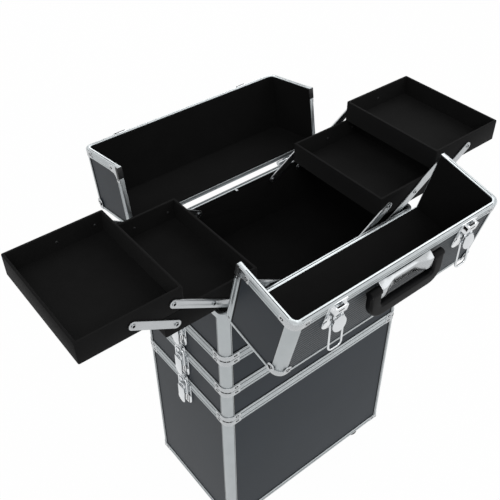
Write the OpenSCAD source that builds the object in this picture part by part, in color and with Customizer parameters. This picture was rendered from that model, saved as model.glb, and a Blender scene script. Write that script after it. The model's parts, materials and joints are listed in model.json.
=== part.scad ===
// Rolling makeup case with a split lid, cantilever trays and stacked sections.
// Millimetres, +Z up, origin on the floor under the middle of the case.

/* [Case] */
// Outer width of the case over its trims
case_w = 380; // [350:1:440]
// Outer depth of the case over its trims
case_d = 224; // [212:1:280]
// Height of the deep base section
base_h = 300; // [240:1:360]
// Height of the lower middle section
section_c_h = 71.5; // [66:0.5:110]
// Height of the upper middle section
section_b_h = 71; // [66:0.5:110]
// Height of the tray body under the lid halves
body_h = 96; // [80:1:140]
// Height of each lid half
half_h = 109; // [100:1:150]
// How far each lid half stands in from the case's sides
half_inset = 1; // [0:0.5:4]
// How far the line where the halves meet lies behind the middle
part_offset = 8; // [-8:0.5:10]
// Radius of the lid halves' top corners
half_r = 14; // [12:0.5:22]
// Thickness of the wall panels
panel_t = 5; // [4:0.5:7]
// Thickness of the section floors
floor_t = 4; // [3:0.5:8]
// Thickness of the cloth lining
lining_t = 1; // [0.6:0.1:1.4]

/* [Trims] */
// Thickness of the metal trims
trim_t = 1.5; // [1:0.1:2]
// Width of a corner post on each face
post_leg = 15; // [14:0.5:22]
// Outer radius of the corner posts
corner_r = 13; // [11:0.5:14]
// Side of the solid core in a corner post
post_core = 9; // [8:0.5:10]
// Height of the trim band along a section's edge
band_h = 11; // [8:0.5:14]
// Width of the thick band where the lid halves meet
part_band = 13; // [10:0.5:16]
// Height of the band along a lid half's foot
foot_band = 10; // [8:0.5:12]
// Width of the thin trim on a lid half's other edges
edge_leg = 4; // [3:0.5:6]
// Thickness of the steel corner plates
plate_t = 0.8; // [0.5:0.1:1.2]
// Length of a steel corner plate along each face
plate_leg = 27; // [24:1:40]

/* [Lid hinges] */
// Angle that the front half stands open
front_open = 103.3; // [95:0.1:110]
// Angle that the back half stands open
back_open = 99.4; // [95:0.1:110]
// Distance of a hinge pin outside the case
hinge_out = 5; // [4.5:0.1:8]
// Radius of the hinge knuckles
knuckle_r = 4; // [3.2:0.1:4.2]
// Radius of the hinge pins
hinge_pin_r = 2; // [1.2:0.1:2.4]
// Length of one hinge
hinge_len = 42; // [40:1:90]
// Distance of the hinges from the middle
hinge_x = 121; // [70:1:125]
// Thickness of the hinge leaves
leaf_t = 1.5; // [1:0.1:2]

/* [Trays] */
// Distance of a folded tray's outer end from the case's side
tray_in = 40; // [34:1:60]
// Gap between a tray and the arms at its ends
arm_gap = 1.2; // [0.8:0.1:3]
// Height of a tray
tray_h = 36; // [28:1:42]
// Thickness of a tray's walls
tray_wall = 4; // [3:0.5:6]
// Thickness of a tray's floor
tray_floor = 3; // [2:0.5:5]
// Radius of a tray's upright corners
tray_r = 7; // [5:0.5:12]
// Distance of the outer pivots from a tray's ends
pivot_inset = 16; // [10:1:22]
// Distance between the pivots of an arm
arm_len = 70; // [62:1:80]
// Width of the arms
arm_w = 13; // [10:0.5:15]
// Thickness of the arms
arm_t = 2; // [1.5:0.1:2.2]
// Radius of the pivots
pivot_r = 2; // [1.6:0.1:2.8]
// Height from the body's rim down to its pivots
pivot_drop = 13; // [10:0.5:16]

/* [Latches] */
// Distance of the top latches from the middle
latch_x = 121; // [100:1:140]
// Width of a latch's base plate
latch_w = 32; // [27:1:36]
// Height of a latch pin above the latch's seat
latch_pin_w = 5.2; // [5.2:0.1:7]
// Radius of the latch pins
latch_pin_r = 1.8; // [1.4:0.1:2]
// Radius of the wire bails
wire_r = 1.5; // [1.2:0.1:1.8]
// Distance of the bail's legs from the latch's middle
bail_u = 11; // [10.5:0.1:13]
// Distance of a side latch's pin below its joint line
side_pin_v = 8; // [7:0.5:10]
// Distance of a side latch's bail pivot below its pin
side_throw = 12; // [11:0.5:14]
// Reach of a side latch's lever below its pin
side_lever = 38; // [30:1:44]
// Greatest length of a side latch's base plate
side_plate = 52; // [50:1:60]
// Distance of a top latch's pin from the joint line
top_pin_v = 22; // [21:0.5:28]
// Distance of a top latch's bail pivot below its pin
top_throw = 11; // [10:0.5:14]
// Reach of a top latch's lever below its pin
top_lever = 22; // [22:1:40]
// Half the width of a top latch's thumb plate
top_thumb = 11.5; // [9:0.5:12]
// Angle that the top latches' levers stand lifted
top_lift = 18; // [14:1:60]
// Length of a top latch's base plate
top_plate = 54; // [50:1:70]

/* [Handle] */
// Length of the handle's mounting plate
mount_w = 97; // [84:1:140]
// Height of the mounting plate's flared ends
mount_end = 26; // [24:1:34]
// Height of the mounting plate's waist
mount_waist = 15; // [12:1:22]
// Distance of the handle's pivots from the mounting plate's edge by the joint line
grip_pivot_v = 8.3; // [7:0.1:12]
// Height of the handle's pivots above the panel
grip_pivot_w = 7; // [6.5:0.5:12]
// Distance from the handle's pivots to the middle of its bar
grip_drop = 34; // [33:1:56]
// Thickness of the grip across its bar
grip_t = 19; // [14:1:24]
// Depth of the grip away from the panel
grip_depth = 12; // [11:0.5:13]
// Radius of the grip's bends
grip_bend = 15; // [13:1:24]
// Radius of the handle's pivot pins
grip_pin_r = 3; // [2:0.5:4]

/* [Wheels] */
// Height of the base above the floor
foot_h = 48; // [46:1:60]
// Radius of the wheels
wheel_r = 22; // [16:1:22]
// Width of the wheels
wheel_w = 16; // [12:1:20]
// Radius of the axles
axle_r = 3; // [2:0.5:5]
// Distance of the wheels from the case's sides
wheel_in_x = 45; // [36:1:70]
// Distance of the wheels from the case's back
wheel_in_y = 32; // [28:1:50]
// Radius of the front feet at the floor
foot_r = 14; // [10:1:18]

/* [Trolley handle] */
// Distance of the tubes from the middle
tube_x = 75; // [50:1:100]
// Outer radius of the tubes
tube_r = 8.5; // [7.5:0.5:11]
// Wall of the tubes
tube_wall = 1.5; // [1:0.1:2]
// Length of the tubes
tube_l = 262; // [200:1:290]
// Overhang of the grip past the bars
trolley_over = 22; // [14:1:40]
// Height of the grip
trolley_h = 26; // [20:1:34]

/* [Hidden] */
$fn = 64;

// Clearances
run_fit = 0.05;
slide_fit = 0.3;
seat_gap = 0.2;
part_gap = 0.3;
half_lift = 0.4;
stack_gap = 0.6;
centre_gap = 0.8;

// Stacking heights
base_z = foot_h;
seat_z = base_z + trim_t;
cd_z = base_z + base_h;
bc_z = cd_z + section_c_h;
ab_z = bc_z + section_b_h;
rim_z = ab_z + body_h;
joints_z = [ab_z, bc_z, cd_z];
wall_in = trim_t + panel_t;
half_w = case_w - 2 * half_inset;
front_depth = case_d / 2 + part_offset;
back_depth = case_d / 2 - part_offset;
post_lap = 0.5;
hinge_y = case_d / 2 + hinge_out;
hang = front_open - 90;

// Trays, with room for the arms and rivets between them and the lining
lining_in = case_d / 2 - wall_in - lining_t;
head_t = 0.8;
head_r = pivot_r + 1.3;
arm_room = arm_gap + arm_t + seat_gap + head_t + slide_fit;
tray_w = case_w / 2 - tray_in;
tray_d = 2 * (lining_in - arm_room);
arm_in = tray_d / 2 + arm_gap;

// Tray linkage: equal pivot pitch, an arm's rise holds one tray clear above the other
pitch = tray_w / 2 - pivot_inset;
rise = tray_h + stack_gap;
run = sqrt(arm_len * arm_len - rise * rise);
elevation = asin(rise / arm_len);
long_x = centre_gap + tray_w / 2 + run;
short_x = long_x - pitch;
pivot_z = rim_z - pivot_drop;
lower_x = long_x + run;
lower_z = pivot_z + rise;
upper_x = lower_x + pitch + run;
upper_z = lower_z + rise;

// Hinges
knuckle = hinge_len / 3;
web = 3;
web_drop = 1;

// Carrying handle
mount_gap = 0.7;
mount_v = part_band + mount_gap + mount_end / 2;
grip_v = part_band + mount_gap + grip_pivot_v;
pin_in = 12;

// Wheels and feet
wheel_x = case_w / 2 - wheel_in_x;
wheel_y = case_d / 2 - wheel_in_y;
cheek_t = 3;
flange_t = 4;
fork_in = wheel_w / 2 + 1;
boss_r = axle_r + 5;

// Trolley handle
tube_y = case_d / 2 + tube_r + 3;
tube_z = base_z + 20;
bar_r = tube_r - tube_wall - slide_fit;

// Latch layout
base_t = 1.2;
ear_in = 4;
ear_out = 6.2;
cheek_in = ear_out + slide_fit;
cheek_out = cheek_in + 1.8;
knee_r = latch_pin_r + 1.6;
roof_w = latch_pin_w + knee_r + 0.2;
roof_t = 1.6;
bridge_low = 2;
bridge_w = latch_pin_w + knee_r;
hook_v = 10.5;
hook_t = 3;
hook_half = 3.5;
hook_rest = hook_v + slide_fit + wire_r;
lip_gap = 0.5;
lip_w = latch_pin_w + wire_r + lip_gap;
lip_t = 1.5;
side_thumb = bail_u - wire_r - slide_fit;
bail_bend = bail_u - hook_half - lip_gap;
keeper_l = 16.5;
keeper_foot = 5;
side_plate_l = min(side_plate, min(section_b_h, section_c_h) - keeper_l - 1);
big = 400;

// Shared outlines

module rounded_rect(w, d, r) {
  square([w - 2 * r, d], center = true);
  square([w, d - 2 * r], center = true);
  for (x = [-1, 1], y = [-1, 1])
    translate([x * (w / 2 - r), y * (d / 2 - r)])
      circle(r);
}

// A rectangle with its corners notched out, where the corner posts stand
module notched_rect(w, d, inset, notch) {
  square([w - 2 * notch, d - 2 * inset], center = true);
  square([w - 2 * inset, d - 2 * notch], center = true);
}

// Section of a corner trim, with the outer corner at the origin
module corner_profile(leg_u, leg_v, r, core) {
  intersection() {
    union() {
      square(core);
      square([leg_u, trim_t]);
      square([trim_t, leg_v]);
    }
    union() {
      translate([r, r])
        circle(r);
      translate([r, 0])
        square(big);
      translate([0, r])
        square(big);
    }
  }
}

module bar(length, w) {
  translate([0, -w / 2])
    square([length, w]);
  circle(w / 2);
  translate([length, 0])
    circle(w / 2);
}

module rod_x(x0, x1, r) {
  translate([x0, 0, 0])
    rotate([0, 90, 0])
      cylinder(r = r, h = x1 - x0);
}

// A box from its low and high corners
module block(low, high) {
  translate(low)
    cube(high - low);
}

// Sections of the stack

module section_panels(z, h) {
  translate([0, 0, z + trim_t]) {
    linear_extrude(h - 2 * trim_t)
      difference() {
        notched_rect(case_w, case_d, trim_t, post_core);
        square([case_w - 2 * wall_in, case_d - 2 * wall_in], center = true);
      }
    linear_extrude(floor_t)
      notched_rect(case_w, case_d, trim_t, post_core);
  }
}

module section_ring() {
  linear_extrude(band_h)
    difference() {
      rounded_rect(case_w, case_d, corner_r);
      notched_rect(case_w, case_d, trim_t, post_core);
    }
  linear_extrude(trim_t)
    difference() {
      rounded_rect(case_w, case_d, corner_r);
      square([case_w - 2 * wall_in, case_d - 2 * wall_in], center = true);
    }
}

module section_frame(z, h) {
  translate([0, 0, z])
    section_ring();
  translate([0, 0, z + h])
    mirror([0, 0, 1])
      section_ring();
  for (x = [0, 1], y = [0, 1])
    mirror([x, 0, 0])
      mirror([0, y, 0])
        translate([-case_w / 2, -case_d / 2, z + band_h])
          linear_extrude(h - 2 * band_h)
            corner_profile(post_leg, post_leg, corner_r, post_core);
}

module base_panels() {
  color("#45494d")
    section_panels(base_z, base_h);
}

module base_frame() {
  color("#b9bec1")
    section_frame(base_z, base_h);
}

module section_c_panels() {
  color("#45494d")
    section_panels(cd_z, section_c_h);
}

module section_c_frame() {
  color("#b9bec1")
    section_frame(cd_z, section_c_h);
}

module section_b_panels() {
  color("#45494d")
    section_panels(bc_z, section_b_h);
}

module section_b_frame() {
  color("#b9bec1")
    section_frame(bc_z, section_b_h);
}

module body_panels() {
  color("#45494d")
    section_panels(ab_z, body_h);
}

module body_frame() {
  color("#b9bec1")
    section_frame(ab_z, body_h);
}

module body_lining() {
  floor_z = ab_z + trim_t + floor_t;
  color("#161616")
    difference() {
      translate([0, 0, floor_z])
        linear_extrude(rim_z - trim_t - floor_z)
          notched_rect(case_w, case_d, wall_in, post_core);
      translate([0, 0, floor_z + lining_t])
        linear_extrude(body_h)
          notched_rect(case_w, case_d, wall_in + lining_t, post_core + lining_t);
      for (x = [-long_x, -short_x, short_x, long_x])
        translate([x, 0, pivot_z])
          rotate([90, 0, 0])
            cylinder(r = pivot_r + slide_fit, h = case_d, center = true);
    }
}

// One curved steel plate on each corner of a band
module corner_plates(z, h) {
  translate([0, 0, z])
    linear_extrude(h)
      difference() {
        rounded_rect(case_w + 2 * plate_t, case_d + 2 * plate_t, corner_r + plate_t);
        rounded_rect(case_w, case_d, corner_r);
        square([case_w - 2 * plate_leg, 2 * case_d], center = true);
        square([2 * case_w, case_d - 2 * plate_leg], center = true);
      }
}

module steel_corners() {
  edge = 0.5;
  plate_h = band_h - 2 * edge;
  color("#c9ced1") {
    corner_plates(base_z + edge, plate_h);
    for (z = joints_z) {
      corner_plates(z + edge, plate_h);
      corner_plates(z - edge - plate_h, plate_h);
    }
  }
}

// Draw latches. In a latch's own frame Y runs up to the keeper, Z stands out of the seat,
// the joint line is at Y = 0 and the trim band's face is at Z = 0.

module latch_base(pin_v, plate_l, band) {
  round_y = -plate_l + latch_w / 2;
  translate([-latch_w / 2, -band, 0])
    cube([latch_w, band - seat_gap, base_t]);
  translate([0, 0, -trim_t])
    linear_extrude(base_t + trim_t) {
      translate([-latch_w / 2, round_y])
        square([latch_w, -band - round_y]);
      translate([0, round_y])
        circle(latch_w / 2);
    }
  for (side = [0, 1])
    mirror([side, 0, 0])
      translate([ear_in, -pin_v, 0])
        difference() {
          union() {
            translate([0, -knee_r, 0])
              cube([ear_out - ear_in, 2 * knee_r, latch_pin_w]);
            translate([0, 0, latch_pin_w])
              rod_x(0, ear_out - ear_in, knee_r);
          }
          translate([0, 0, latch_pin_w])
            rod_x(-1, ear_out, latch_pin_r + run_fit);
        }
}

module latch_lever(pin_v, throw, reach, thumb) {
  cheek_w = roof_w - latch_pin_w + roof_t;
  for (side = [0, 1])
    mirror([side, 0, 0])
      difference() {
        translate([cheek_in, -pin_v, latch_pin_w])
          rotate([0, 90, 0])
            linear_extrude(cheek_out - cheek_in)
              union() {
                circle(knee_r);
                translate([0, -throw])
                  circle(knee_r);
                translate([-knee_r, -throw])
                  square([2 * knee_r, throw]);
                translate([-cheek_w, -throw])
                  square([cheek_w, throw]);
              }
        translate([0, -pin_v - throw, latch_pin_w])
          rod_x(0, big, wire_r + run_fit);
      }
  translate([0, -pin_v, latch_pin_w])
    rod_x(-cheek_in, cheek_in, latch_pin_r);
  translate([0, 0, roof_w])
    linear_extrude(roof_t) {
      translate([-cheek_out, -pin_v - reach + thumb])
        square([2 * cheek_out, reach - thumb]);
      translate([0, -pin_v - reach + thumb])
        circle(thumb);
    }
}

// A wire bail with its pivot at the origin, standing up along Y
module latch_bail(length) {
  for (side = [0, 1])
    mirror([side, 0, 0]) {
      rod_x(cheek_in, bail_u, wire_r);
      translate([bail_u, 0, 0]) {
        sphere(wire_r);
        rotate([-90, 0, 0])
          cylinder(r = wire_r, h = length - bail_bend);
      }
      translate([bail_u - bail_bend, length - bail_bend, 0])
        rotate_extrude(angle = 90)
          translate([bail_bend, 0])
            circle(wire_r);
    }
  translate([0, length, 0])
    rod_x(-bail_u + bail_bend, bail_u - bail_bend, wire_r);
}

module latch_keeper() {
  translate([-hook_half - keeper_foot, seat_gap, 0])
    cube([2 * (hook_half + keeper_foot), keeper_l - seat_gap, base_t]);
  translate([-hook_half, hook_v - hook_t, 0])
    cube([2 * hook_half, hook_t, lip_w + lip_t]);
  translate([-hook_half, hook_v - hook_t, lip_w])
    cube([2 * hook_half, 2 * hook_t, lip_t]);
}

module on_side(side, z) {
  mirror([side > 0 ? 1 : 0, 0, 0])
    translate([-case_w / 2, 0, z])
      rotate([90, 0, -90])
        children();
}

module side_lever(side, joint) {
  color("#d4d8da")
    on_side(side, joints_z[joint])
      latch_lever(side_pin_v, side_throw, side_lever, side_thumb);
}

module side_bail(side, joint) {
  color("#dfe2e4")
    on_side(side, joints_z[joint])
      translate([0, -side_pin_v - side_throw, latch_pin_w])
        latch_bail(side_pin_v + side_throw + hook_rest);
}

module side_latch_plates() {
  color("#c9ced1")
    for (side = [-1, 1], z = joints_z)
      on_side(side, z)
        latch_base(side_pin_v, side_plate_l, band_h);
}

module side_latch_keepers() {
  color("#c9ced1")
    for (side = [-1, 1], z = joints_z)
      on_side(side, z)
        latch_keeper();
}

// Lid halves, drawn shut with the body's rim at Z = 0 and the joint line at Y = 0

module front_pose() {
  translate([0, -hinge_y, rim_z])
    rotate([front_open, 0, 0])
      translate([0, front_depth + hinge_out, 0])
        children();
}

module back_pose() {
  mirror([0, 1, 0])
    translate([0, -hinge_y, rim_z])
      rotate([back_open, 0, 0])
        translate([0, back_depth + hinge_out, 0])
          children();
}

// Outline of a half seen from the joint line, set in from its outside and cut off at its foot
module half_face(inset, foot) {
  r = half_r - inset;
  w = half_w / 2 - inset;
  h = half_h - inset;
  translate([-w, foot])
    square([2 * w, h - r - foot]);
  translate([-w + r, foot])
    square([2 * (w - r), h - foot]);
  for (x = [-1, 1])
    translate([x * (w - r), h - r])
      circle(r);
}

module half_ring(t) {
  difference() {
    half_face(0, half_lift);
    half_face(t, -1);
  }
}

module along_y(y0, y1) {
  translate([0, y1, 0])
    rotate([90, 0, 0])
      linear_extrude(y1 - y0)
        children();
}

module half_frame(depth) {
  intersection() {
    union() {
      // thick band round the joint line, with a lip over the panel edges
      along_y(-part_gap - part_band, -part_gap)
        half_ring(trim_t);
      along_y(-part_gap - trim_t, -part_gap)
        half_ring(wall_in);
      // band round the foot, with a lip under the panel edges
      translate([0, 0, half_lift])
        difference() {
          block([-half_w / 2, -depth, 0], [half_w / 2, -part_gap, foot_band]);
          block([-half_w / 2 + wall_in, -depth + wall_in, -1], [half_w / 2 - wall_in, 1, big]);
          block([-half_w / 2 + trim_t, -depth + trim_t, trim_t], [half_w / 2 - trim_t, 1, big]);
        }
      // round posts along the top's ends
      along_y(-depth, -part_gap)
        intersection() {
          half_ring(trim_t);
          for (x = [-1, 1])
            translate([x * half_w / 2, half_h])
              square(2 * (half_r + post_lap), center = true);
        }
      // thin trims up the corners by the hinges
      for (side = [0, 1])
        mirror([side, 0, 0])
          translate([-half_w / 2, -depth, half_lift])
            linear_extrude(half_h - half_lift)
              corner_profile(edge_leg, edge_leg, edge_leg, edge_leg);
      // thin trim along the top's edge by the hinges
      along_y(-depth, -depth + edge_leg)
        half_ring(edge_leg);
    }
    along_y(-depth, -part_gap)
      half_face(0, half_lift);
  }
}

module half_shell(depth, outer, inner) {
  difference() {
    along_y(-depth + outer, -part_gap - trim_t)
      half_face(outer, half_lift + trim_t);
    along_y(-depth + inner, big)
      half_face(inner, -1);
    half_frame(depth);
  }
}

module half_panels(depth) {
  color("#45494d")
    half_shell(depth, trim_t, wall_in);
}

module half_lining(depth) {
  color("#161616")
    half_shell(depth, wall_in, wall_in + lining_t);
}

module front_half_panels() {
  front_pose()
    half_panels(front_depth);
}

module front_half_frame() {
  color("#b9bec1")
    front_pose()
      half_frame(front_depth);
}

module front_half_lining() {
  front_pose()
    half_lining(front_depth);
}

module back_lid_panels() {
  back_pose()
    half_panels(back_depth);
}

module back_lid_frame() {
  color("#b9bec1")
    back_pose()
      half_frame(back_depth);
}

module back_lid_lining() {
  back_pose()
    half_lining(back_depth);
}

// Hinges: the fixed leaf holds the pin in its outer knuckles, the moving leaf has the middle one

module knuckle_at(face_y, x0, x1, bore) {
  translate([0, face_y - hinge_out, 0])
    difference() {
      union() {
        rod_x(x0, x1, knuckle_r);
        block([x0, 0, -web - web_drop], [x1, hinge_out, -web_drop]);
      }
      rod_x(x0 - 1, x1 + 1, bore);
    }
}

module leaf(face_y, height) {
  block([-hinge_len / 2, face_y - leaf_t, -height],
        [hinge_len / 2, face_y, -knuckle_r - web_drop]);
}

module leaf_web(face_y) {
  block([-web, face_y - leaf_t, -knuckle_r - web_drop], [web, face_y, -web_drop]);
}

module fixed_leaf() {
  face_y = -case_d / 2;
  for (x = [-hinge_x, hinge_x])
    translate([x, 0, 0]) {
      knuckle_at(face_y, -hinge_len / 2, -knuckle / 2 - slide_fit, hinge_pin_r);
      knuckle_at(face_y, knuckle / 2 + slide_fit, hinge_len / 2, hinge_pin_r);
      leaf(face_y, band_h - 1);
      for (side = [-1, 1])
        translate([side * (hinge_len + knuckle) / 4, 0, 0])
          leaf_web(face_y);
    }
}

module moving_leaf(depth) {
  for (x = [-hinge_x, hinge_x])
    translate([x, 0, 0])
      mirror([0, 0, 1]) {
        knuckle_at(-depth, -knuckle / 2, knuckle / 2, hinge_pin_r + run_fit);
        leaf(-depth, foot_band + half_lift - 1);
        leaf_web(-depth);
      }
}

module fixed_hinge_leaves() {
  color("#aeb3b6")
    for (side = [0, 1])
      mirror([0, side, 0])
        translate([0, 0, rim_z])
          fixed_leaf();
}

module hinge_pins() {
  color("#9fa4a8")
    for (y = [-hinge_y, hinge_y], x = [-hinge_x, hinge_x])
      translate([x, y, rim_z])
        rod_x(-hinge_len / 2, hinge_len / 2, hinge_pin_r);
}

module front_hinge_leaves() {
  color("#aeb3b6")
    front_pose()
      moving_leaf(front_depth);
}

module back_hinge_leaves() {
  color("#aeb3b6")
    back_pose()
      moving_leaf(back_depth);
}

// Top latches on the front half, keepers on the back half

module on_top(side) {
  front_pose()
    translate([side * latch_x, -part_gap, half_h])
      children();
}

// Turns a top latch's lever about its pin until it stands lifted
module lever_lift() {
  translate([0, -top_pin_v, latch_pin_w])
    rotate([-top_lift, 0, 0])
      translate([0, top_pin_v, -latch_pin_w])
        children();
}

module top_latch_plates() {
  bridge_high = top_pin_v - knee_r - 4;
  slot_w = 5;
  color("#c9ced1")
    for (side = [-1, 1])
      on_top(side) {
        latch_base(top_pin_v, top_plate, part_band);
        difference() {
          block([-bail_u, -bridge_high, base_t], [bail_u, -bridge_low, bridge_w]);
          block([-ear_out, -big, base_t], [ear_out, 0, base_t + slot_w]);
        }
      }
}

module top_lever(side) {
  color("#d4d8da")
    on_top(side)
      lever_lift()
        latch_lever(top_pin_v, top_throw, top_lever, top_thumb);
}

module top_bail(side) {
  color("#dfe2e4")
    on_top(side)
      lever_lift()
        translate([0, -top_pin_v - top_throw, latch_pin_w])
          rotate([180 + top_lift - hang, 0, 0])
            latch_bail(top_pin_v + top_throw + hook_rest);
}

module latch_keepers() {
  color("#c9ced1")
    back_pose()
      for (side = [-1, 1])
        translate([side * latch_x, -part_gap, half_h])
          rotate([0, 0, 180]) {
            latch_keeper();
            block([-bail_u, bridge_low, 0], [bail_u, hook_v - hook_t / 2, bridge_w]);
          }
}

// Carrying handle

// A bow-tie strap, low at its edge by the joint line and raised over the pivots
module handle_mount() {
  end = mount_w / 2;
  flare = 24;
  edge_w = 1.5;
  slope = 5;
  lip = 4;
  top_w = grip_pivot_w + grip_pin_r + 3;
  color("#cfd3d6")
    front_pose()
      translate([0, -part_gap - mount_v, half_h])
        difference() {
          intersection() {
            translate([0, 0, -trim_t])
              linear_extrude(trim_t + top_w)
                polygon([
                  [-end, -mount_end / 2], [-end + flare, -mount_waist / 2],
                  [end - flare, -mount_waist / 2], [end, -mount_end / 2],
                  [end, mount_end / 2], [end - flare, mount_waist / 2],
                  [-end + flare, mount_waist / 2], [-end, mount_end / 2]]);
            rotate([90, 0, 90])
              linear_extrude(mount_w, center = true)
                polygon([
                  [-mount_end / 2, -trim_t], [mount_end / 2, -trim_t],
                  [mount_end / 2, edge_w], [mount_end / 2 - slope, top_w - lip / 2],
                  [-mount_end / 2 + lip, top_w], [-mount_end / 2, top_w - lip / 2]]);
          }
          for (side = [0, 1])
            mirror([side, 0, 0])
              translate([0, mount_v - grip_v, grip_pivot_w])
                rod_x(end - pin_in - slide_fit, big, grip_pin_r + run_fit);
        }
}

module grip_section() {
  rounded_rect(grip_t, grip_depth, grip_depth / 3);
}

// The grip hangs straight down from its pivots
module handle_grip() {
  leg_x = mount_w / 2 + slide_fit + grip_t / 2;
  leg_l = grip_drop - grip_bend;
  cap_in = 0.2;
  cap_half = grip_t / 2 - cap_in;
  color("#1d1d1f")
    front_pose()
      translate([0, -part_gap - grip_v, half_h + grip_pivot_w])
        rotate([-hang, 0, 0]) {
          for (side = [0, 1])
            mirror([side, 0, 0]) {
              rod_x(mount_w / 2 - pin_in, leg_x, grip_pin_r);
              rod_x(leg_x - cap_half, leg_x + cap_half, grip_depth / 2 - cap_in);
              translate([leg_x, -leg_l, 0]) {
                rotate([-90, 0, 0])
                  linear_extrude(leg_l)
                    grip_section();
                translate([-grip_bend, 0, 0])
                  rotate_extrude(angle = -90)
                    translate([grip_bend, 0])
                      grip_section();
              }
            }
          translate([0, -grip_drop, 0])
            rotate([90, 0, 90])
              linear_extrude(2 * (leg_x - grip_bend), center = true)
                grip_section();
        }
}

// Trays and their arms. The left side is drawn, the right side mirrors it.

module tray(x, z, pivots) {
  translate([-x, 0, z - tray_h / 2])
    difference() {
      linear_extrude(tray_h)
        rounded_rect(tray_w, tray_d, tray_r);
      translate([0, 0, tray_floor])
        linear_extrude(tray_h)
          rounded_rect(tray_w - 2 * tray_wall, tray_d - 2 * tray_wall, tray_r - tray_wall);
    }
  for (side = [0, 1], px = pivots)
    mirror([0, side, 0])
      translate([px - x, -tray_d / 2, z])
        rotate([90, 0, 0]) {
          translate([0, 0, -tray_wall / 2])
            cylinder(r = head_r, h = tray_wall / 2 + arm_gap - seat_gap);
          cylinder(r = pivot_r, h = arm_gap + arm_t + seat_gap + head_t / 2);
          translate([0, 0, arm_gap + arm_t + seat_gap])
            cylinder(r = head_r, h = head_t);
        }
}

module lower_tray() {
  color("#141414")
    tray(lower_x, lower_z, [-pitch, 0, pitch]);
}

module upper_tray() {
  color("#141414")
    tray(upper_x, upper_z, [0, pitch]);
}

// A pair of flat arms rising from a pivot, one at each end of the trays
module arms(x, z, holes) {
  color("#bfc4c7")
    for (side = [0, 1])
      mirror([0, side, 0])
        translate([-x, -arm_in, z])
          rotate([0, -180 + elevation, 0])
            rotate([90, 0, 0])
              linear_extrude(arm_t)
                difference() {
                  bar(holes * arm_len, arm_w);
                  for (k = [0 : holes])
                    translate([k * arm_len, 0])
                      circle(pivot_r + run_fit);
                }
}

module arm_pivots() {
  color("#b4b9bc")
    for (side = [0, 1], x = [-long_x, -short_x, short_x, long_x])
      mirror([0, side, 0])
        translate([x, 0, pivot_z])
          rotate([90, 0, 0]) {
            translate([0, 0, arm_in - seat_gap])
              cylinder(r = pivot_r, h = case_d / 2 - wall_in - arm_in + seat_gap);
            translate([0, 0, arm_in - seat_gap - head_t])
              cylinder(r = head_r, h = head_t);
            translate([0, 0, arm_in + arm_t + seat_gap])
              cylinder(r = head_r, h = lining_in - arm_in - arm_t - seat_gap);
          }
}

module right() {
  mirror([1, 0, 0])
    children();
}

module left_lower_tray() {
  lower_tray();
}

module left_upper_tray() {
  upper_tray();
}

module right_lower_tray() {
  right()
    lower_tray();
}

module right_upper_tray() {
  right()
    upper_tray();
}

module left_long_arms() {
  arms(long_x, pivot_z, 2);
}

module left_short_arms() {
  arms(short_x, pivot_z, 1);
}

module left_links() {
  arms(lower_x + pitch, lower_z, 1);
}

module right_long_arms() {
  right()
    left_long_arms();
}

module right_short_arms() {
  right()
    left_short_arms();
}

module right_links() {
  right()
    left_links();
}

// Wheels, feet and trolley handle

module wheel_housings() {
  width = fork_in + cheek_t;
  lug = 6;
  color("#1f2022")
    for (x = [-wheel_x, wheel_x])
      translate([x, wheel_y, 0])
        difference() {
          union() {
            translate([0, 0, wheel_r])
              rod_x(-width, width, boss_r);
            block([-width, -boss_r, wheel_r], [width, boss_r, seat_z]);
            block([-width - lug, -wheel_r, seat_z - cheek_t], [width + lug, wheel_r, seat_z]);
          }
          block([-fork_in, -big, -big], [fork_in, big, seat_z - cheek_t]);
          translate([0, 0, wheel_r])
            rod_x(-big, big, axle_r);
        }
}

module axles() {
  reach = fork_in + cheek_t;
  color("#9fa4a8")
    for (x = [-wheel_x, wheel_x])
      translate([x, wheel_y, wheel_r])
        rod_x(-reach, reach, axle_r);
}

// Half section of a wheel, one side of its middle plane
// Section of a wheel, the same on both sides of its middle
module wheel_section(half) {
  tread = 3;
  dish = 3;
  hub_r = axle_r + 4;
  rim_r = wheel_r - 6;
  outer = [
    [axle_r + run_fit, fork_in - slide_fit], [hub_r, fork_in - slide_fit],
    [hub_r, half - dish], [rim_r, half - dish], [rim_r + 1, half],
    [wheel_r - tread, half], [wheel_r, half - tread]];
  last = len(outer) - 1;
  polygon(concat(outer, [for (i = [0 : last]) [outer[last - i][0], -outer[last - i][1]]]));
}

module wheel(x) {
  color("#26272a")
    translate([x, wheel_y, wheel_r])
      rotate([0, 90, 0])
        rotate_extrude()
          wheel_section(wheel_w / 2);
}

module left_wheel() {
  wheel(-wheel_x);
}

module right_wheel() {
  wheel(wheel_x);
}

module front_feet() {
  flare = 4;
  color("#1f2022")
    for (x = [-wheel_x, wheel_x])
      translate([x, -case_d / 2 + wheel_in_y, 0]) {
        cylinder(r1 = foot_r, r2 = foot_r + flare, h = seat_z - flange_t);
        translate([0, 0, seat_z - flange_t])
          cylinder(r = foot_r + 2 * flare, h = flange_t);
      }
}

module trolley_tubes() {
  clamp_h = 22;
  clamp_end = 10;
  clamp_t = 4;
  color("#a9aeb2")
    for (x = [-tube_x, tube_x])
      translate([x, 0, tube_z])
        difference() {
          union() {
            translate([0, tube_y, 0])
              cylinder(r = tube_r, h = tube_l);
            for (z = [clamp_end, tube_l - clamp_end - clamp_h])
              block([-tube_r - clamp_t, case_d / 2 - trim_t, z],
                    [tube_r + clamp_t, tube_y + clamp_t, z + clamp_h]);
          }
          translate([0, tube_y, tube_wall])
            cylinder(r = tube_r - tube_wall, h = tube_l);
        }
}

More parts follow.
